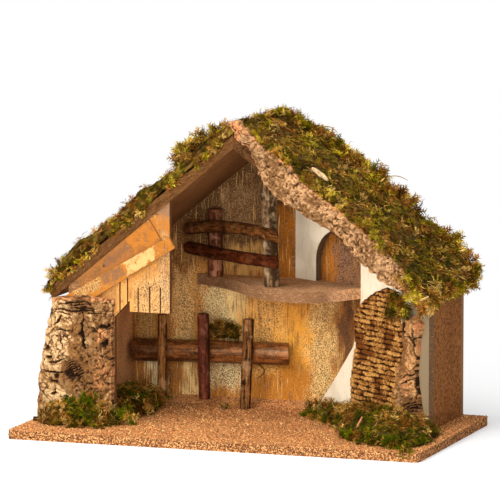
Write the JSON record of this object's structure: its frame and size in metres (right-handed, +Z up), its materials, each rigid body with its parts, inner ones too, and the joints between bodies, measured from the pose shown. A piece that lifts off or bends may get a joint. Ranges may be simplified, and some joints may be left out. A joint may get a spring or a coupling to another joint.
{
  "type": "nativity stable",
  "caption": "Open-fronted gabled display stable of fibreboard on a granule-covered base, with a loft, an arched plaster wall, cork bark, twig rails and moss.",
  "frame": {"origin": "middle of the base's underside, where the stable stands on a table", "axes": "+X to the right as seen from the open front, +Y to the back wall, +Z up"},
  "size_m": [0.5, 0.28, 0.3756],
  "materials": {
    "fibreboard": "brown-stained soft fibreboard, matte, with fibrous sawn edges",
    "painted_board": "fibreboard painted in ochre, cream and grey dry-brush strokes",
    "painted_plank": "thin softwood, brushed with cream and orange-brown stain",
    "cork_granules": "fine orange-tan cork granules with dark specks, glued on",
    "cork_bark": "natural cork bark, cracked and pitted, with peach cut edges",
    "plaster": "thin off-white plaster, matte and slightly rough",
    "embossed_stones": "embossed cork board in rows of long flat tan stones with dark joints",
    "red_twig": "reddish-brown twig bark with a slight sheen",
    "dark_twig": "dark red-brown twig bark with a slight sheen",
    "brown_twig": "grey-brown twig bark, matte",
    "grey_twig": "grey-brown twig bark with knots, matte",
    "moss": "dried moss in olive, green and brown strands",
    "brad_steel": "dulled steel brad"
  },
  "bodies": {
    "root": {"base_board": "fibreboard", "granule_cover": "cork_granules", "back_wall": "painted_board", "left_wall": "fibreboard", "right_wall": "fibreboard", "gable_board": "painted_board", "gable_plank": "painted_plank", "gable_batten": "painted_plank", "plank_brad": "brad_steel", "left_bark_slab": "cork_bark", "arch_facade": "fibreboard", "plaster_coat": "plaster", "stone_panel": "embossed_stones", "right_bark_strip": "cork_bark", "loft_floor": "fibreboard", "short_post": "red_twig", "tall_post": "grey_twig", "upper_rail": "red_twig", "lower_rail": "red_twig", "rack_log": "dark_twig", "rack_upright_left": "brown_twig", "rack_upright_middle": "dark_twig", "rack_upright_right": "brown_twig", "left_roof_slab": "fibreboard", "right_roof_slab": "fibreboard", "bark_fascia": "cork_bark", "left_roof_moss": "moss", "right_roof_moss": "moss", "left_ground_moss": "moss", "right_ground_moss": "moss", "wall_moss": "moss", "pier_moss": "moss"}
  },
  "joints": []
}
